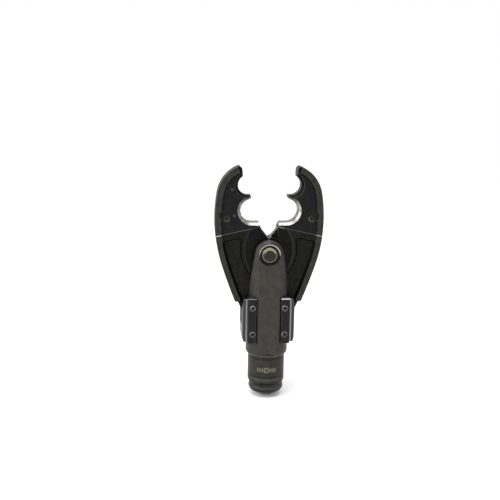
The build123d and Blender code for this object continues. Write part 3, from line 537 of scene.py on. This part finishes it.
def yoke_material():
    """Satin warm-grey finish with fine upright grain on the fork and turned lines round the neck; bands of
    painted shade and highlight also go round the neck.
    """
    g = Graph("yoke_finish")
    mottle = g.ramp(g.noise(0.16, 6.0, 0.6), 0.33, 0.67)
    upright = g.noise(1.6, 3.0, 0.6, g.stretched(1, 1, 0.12))
    turned = g.noise(3.0, 2.0, 0.5, g.stretched(0.05, 0.05, 1))
    neck = g.under(g.z, SHOULDER_Z, 0.4)
    grain = g.blend(neck, upright, turned)
    fork_colour = g.mix(g.blend(0.5, mottle, grain), tone(48, 47, 43), tone(63, 61, 57))
    neck_colour = g.mix(g.blend(0.5, mottle, grain), tone(37, 36, 34), tone(56, 55, 52))
    colour = g.mix(neck, fork_colour, neck_colour)
    # Painted shade in the neck's grooves and painted highlights on its collars.
    for middle, half, level in NECK_PAINTED_BANDS:
        line = g.between(g.z, middle - half, middle + half, half)
        colour = g.mix(g.math("MULTIPLY", line, 0.85), colour, grey(level))
    # Painted shade in the corners.
    colour = g.mix(g.math("MULTIPLY", g.hollow(3.5), 0.85), colour, tone(6, 6, 5))
    edge = g.edges(0.5)
    # Edges painted light: wear and painted highlight.
    colour = g.mix(g.math("MULTIPLY", edge, 0.65), colour, tone(150, 146, 134))

    from_pin = g.distance(g.x, 0.0, g.z, PIN_Z)
    seat_ring = g.both(g.between(from_pin, SEAT_R, SEAT_R + SEAT_RING, 0.1), g.over(g.facing, 0.4, 0.1))
    highlight_half = g.over(g.z, PIN_Z + 1.0, 3.0)
    # Painted highlight on the upper half of the counterbore ring and painted shade on its lower half.
    colour = g.mix(g.both(seat_ring, g.over(g.math("ABSOLUTE", g.y), SEAT_FROM_Y)), colour,
                   g.mix(highlight_half, grey(22), grey(190)))

    mark = g.both(g.either(*neck_mark(g)), g.under(g.y, 0.0), neck, g.ramp(g.noise(2.0), 0.3, 0.5, 0.5, 1.0))
    colour = g.mix(mark, colour, tone(150, 142, 118))

    roughness = g.blend(edge, g.ramp(grain, 0.25, 0.75, 0.36, 0.52), 0.28)
    height = g.blend(0.4, grain, g.noise(5.0, 2.0))
    return g.finish(colour, roughness, g.blend(edge, 0.45, 0.9), height, 0.02)


def neck_mark(g):
    """A plain etched mark: a ring with a dot in it, between two groups of upright bars."""
    radius = g.distance(g.x, MARK_X, g.z, MARK_Z)
    tall = g.between(g.z, MARK_Z - BAR_HALF, MARK_Z + BAR_HALF, 0.08)
    masks = [
        g.between(radius, MARK_RING_R - MARK_LINE, MARK_RING_R + MARK_LINE, 0.08),
        g.under(radius, 2 * MARK_LINE, 0.08),
    ]
    for bar in MARK_BARS:
        middle = MARK_X + bar
        masks.append(g.both(tall, g.between(g.x, middle - MARK_LINE, middle + MARK_LINE, 0.08)))
    return masks


def slot_materials():
    """The finish for each of the record's material slots."""
    steel = grey(200)
    oxide = (tone(26, 26, 27), tone(36, 36, 37), grey(140))
    bronze = (tone(128, 96, 52), tone(170, 132, 76), tone(214, 186, 130))
    return {
        "yoke_dark_finish": yoke_material(),
        "forged_steel_black": jaw_material(),
        "machined_steel_black": plain_metal("machined_black", grey(34), grey(48), grey(180), 0.42, 0.4,
                                            grain=(1, 1, 0.1), grain_scale=2.0),
        "black_oxide_steel": plain_metal("black_oxide", *oxide, 0.36, 0.5, grain_scale=4.0,
                                         accents=strip_faces),
        "ground_steel": plain_metal("ground_steel", tone(96, 95, 84), tone(132, 130, 118), steel, 0.3, 0.85,
                                    grain_scale=5.0, corner_shade=0.3),
        "zinc_plated_guard": plain_metal("zinc_plated", grey(78), grey(104), steel, 0.38, 0.8,
                                         grain=(1, 1, 0.15), grain_scale=1.2, corner_shade=0.8, accents=guard_sheen),
        "bronze_bush": plain_metal("bronze", *bronze, 0.34, 0.9, grain=(1, 0.1, 1)),
        "spring_steel": plain_metal("spring_steel", grey(84), grey(122), steel, 0.32, 0.85),
        "seal_rubber": plain_metal("seal_rubber", grey(20), grey(32), grey(44), 0.7, 0.0, grain_scale=2.0,
                                   depth=0.02),
    }


def piece_materials():
    """The few pieces whose visible end faces have their own zones, with painted highlights and shade on the
    screw heads and die button faces.
    """
    screws = plain_metal("screw_heads", grey(14), grey(24), grey(160), 0.32, 0.6, accents=screw_head)
    buttons = plain_metal("die_buttons", tone(26, 26, 23), tone(42, 41, 37), grey(80), 0.36, 0.6,
                          accents=button_face)
    return {
        "pivot_pin": plain_metal("pin_ends", tone(96, 95, 84), tone(132, 130, 118), grey(200), 0.3, 0.8,
                                 grain_scale=5.0, corner_shade=0.3, accents=pin_end),
        "front_strip_screws": screws,
        "rear_strip_screws": screws,
        "left_die_button": buttons,
        "right_die_button": buttons,
    }


def dress_frame(slots, own):
    """Gives every CAD node its own finish, or that of the slot the record names for it."""
    for part in frame["record"]["subparts"]:
        piece = nodes[part["node"]]
        piece.data.materials.clear()
        piece.data.materials.append(own.get(part["node"], slots[part["material_slot"]]))


# ---- springs ------------------------------------------------------------------------

def wire_along(name, path, radius, material):
    """A round spring wire along a path of points in millimetres, closed at both ends."""
    wire = bmesh.new()
    rings = []
    side = (path[1] - path[0]).orthogonal()
    for index, point in enumerate(path):
        along = (path[min(index + 1, len(path) - 1)] - path[max(index - 1, 0)]).normalized()
        side = (side - along * side.dot(along)).normalized()
        over = along.cross(side)
        ring = []
        for step in range(WIRE_SIDES):
            angle = 2 * math.pi * step / WIRE_SIDES
            outwards = side * math.cos(angle) + over * math.sin(angle)
            ring.append(wire.verts.new((point + outwards * radius) * MM))
        rings.append(ring)
    for ring, following in zip(rings, rings[1:]):
        for step in range(WIRE_SIDES):
            beside = (step + 1) % WIRE_SIDES
            face = wire.faces.new((ring[step], ring[beside], following[beside], following[step]))
            face.smooth = True
    wire.faces.new(reversed(rings[0]))
    wire.faces.new(rings[-1])
    mesh = bpy.data.meshes.new(name)
    wire.to_mesh(mesh)
    wire.free()
    mesh.materials.append(material)
    piece = bpy.data.objects.new(name, mesh)
    bpy.context.scene.collection.objects.link(piece)
    return piece


def compression_spring(node, axis, body, sizes, material):
    """A coil with closer end turns in the CAD spring's place."""
    low, high = (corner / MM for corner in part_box(node))
    across = [index for index in range(3) if index != axis]
    centre = (low + high) / 2
    radius = (high[across[0]] - low[across[0]]) / 2 - sizes["wire"]
    length = high[axis] - low[axis] - 2 * sizes["wire"]
    path = []
    steps = COIL_STEPS * sizes["turns"]
    for step in range(steps + 1):
        share = step / steps
        climb = share - sizes["closing"] * math.sin(2 * math.pi * share) / (2 * math.pi)
        angle = 2 * math.pi * sizes["turns"] * share
        point = centre.copy()
        point[axis] = low[axis] + sizes["wire"] + length * climb
        point[across[0]] += radius * math.cos(angle)
        point[across[1]] += radius * math.sin(angle)
        path.append(point)
    spring = wire_along(node + "_coil", path, sizes["wire"], material)
    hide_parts(node)
    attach(spring, body)
    anchor = centre.copy()
    anchor[axis] = high[axis]
    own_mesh(spring)


def jaw_spring_half(side, material):
    """Half of the tension spring: coils from the middle, a leg and an eye round the lever's anchor pin."""
    path = []
    steps = COIL_STEPS * JAW_COIL_TURNS
    for step in range(steps + 1):
        angle = 2 * math.pi * JAW_COIL_TURNS * step / steps
        across = JAW_COIL_HALF * step / steps
        path.append((across, JAW_COIL_R * math.sin(angle), -JAW_COIL_R * math.cos(angle)))
    for step in range(COIL_STEPS + 1):
        angle = math.radians(EYE_TURN) * step / COIL_STEPS
        path.append((ANCHOR_X + EYE_R * math.sin(angle), 0.0, -EYE_R * math.cos(angle)))
    points = [Vector((side * x, side * y, ANCHOR_Z + z)) for x, y, z in path]
    name = "right" if side > 0 else "left"
    half = wire_along(name + "_jaw_spring_half", points, JAW_WIRE, material)
    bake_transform(half)
    return half


def make_springs(material):
    compression_spring("ram_spring", 2, "fork", RAM_SPRING, material)
    for side in ("left", "right"):
        compression_spring(side + "_button_spring", 1, side + "_jaw_body",
                           BUTTON_SPRING, material)
    halves = [jaw_spring_half(side, material) for side in (-1, 1)]
    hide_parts("jaw_spring")


# ---- camera, light and floor --------------------------------------------------------

def make_camera():
    """The camera stands a little left of the head's front and looks down on it."""
    azimuth = math.radians(CAMERA_AZIMUTH)
    pitch = math.radians(CAMERA_PITCH)
    roll = math.radians(CAMERA_ROLL)
    level = Vector((-math.sin(azimuth), math.cos(azimuth), 0))
    forward = level * math.cos(pitch) - Vector((0, 0, math.sin(pitch)))
    right = forward.cross(Vector((0, 0, 1))).normalized()
    up = right.cross(forward)
    tilted_right = right * math.cos(roll) + up * math.sin(roll)
    tilted_up = up * math.cos(roll) - right * math.sin(roll)
    data = bpy.data.cameras.new("camera")
    data.lens = CAMERA_LENS
    data.sensor_width = SENSOR_WIDTH
    camera = bpy.data.objects.new("camera", data)
    bpy.context.scene.collection.objects.link(camera)
    turn = Matrix((tilted_right, tilted_up, -forward)).transposed().to_4x4()
    camera.matrix_world = Matrix.Translation(CAMERA_PLACE) @ turn
    bpy.context.scene.camera = camera


def make_light(name, place, target, width, height, power):
    data = bpy.data.lights.new(name, "AREA")
    data.shape = "RECTANGLE"
    data.size = width
    data.size_y = height
    data.energy = power
    light = bpy.data.objects.new(name, data)
    light.location = place
    light.rotation_euler = (Vector(target) - Vector(place)).to_track_quat("-Z", "Y").to_euler()
    bpy.context.scene.collection.objects.link(light)


def make_world(strength):
    world = bpy.data.worlds.new("studio")
    world.use_nodes = True
    background = world.node_tree.nodes["Background"]
    background.inputs["Color"].default_value = (1, 1, 1, 1)
    background.inputs["Strength"].default_value = strength
    bpy.context.scene.world = world


def make_floor():
    """A white floor under the head that runs out to the horizon."""
    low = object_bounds()[0].z
    mesh = bpy.data.meshes.new("floor")
    signs = [(-1, -1), (1, -1), (1, 1), (-1, 1)]
    corners = [(x * FLOOR_HALF, y * FLOOR_HALF, low) for x, y in signs]
    mesh.from_pydata(corners, [], [(0, 1, 2, 3)])
    floor = bpy.data.objects.new("floor", mesh)
    bpy.context.scene.collection.objects.link(floor)
    material = bpy.data.materials.new("floor")
    material.use_nodes = True
    shader = material.node_tree.nodes["Principled BSDF"]
    shader.inputs["Base Color"].default_value = (1, 1, 1, 1)
    shader.inputs["Roughness"].default_value = 1.0
    shader.inputs["Specular IOR Level"].default_value = 0.0
    mesh.materials.append(material)


bpy.context.scene.view_settings.view_transform = "Standard"
slots = slot_materials()
dress_frame(slots, piece_materials())
make_springs(slots["spring_steel"])
make_camera()
make_world(WORLD_STRENGTH)
make_floor()
for light in LIGHTS:
    make_light(**light)
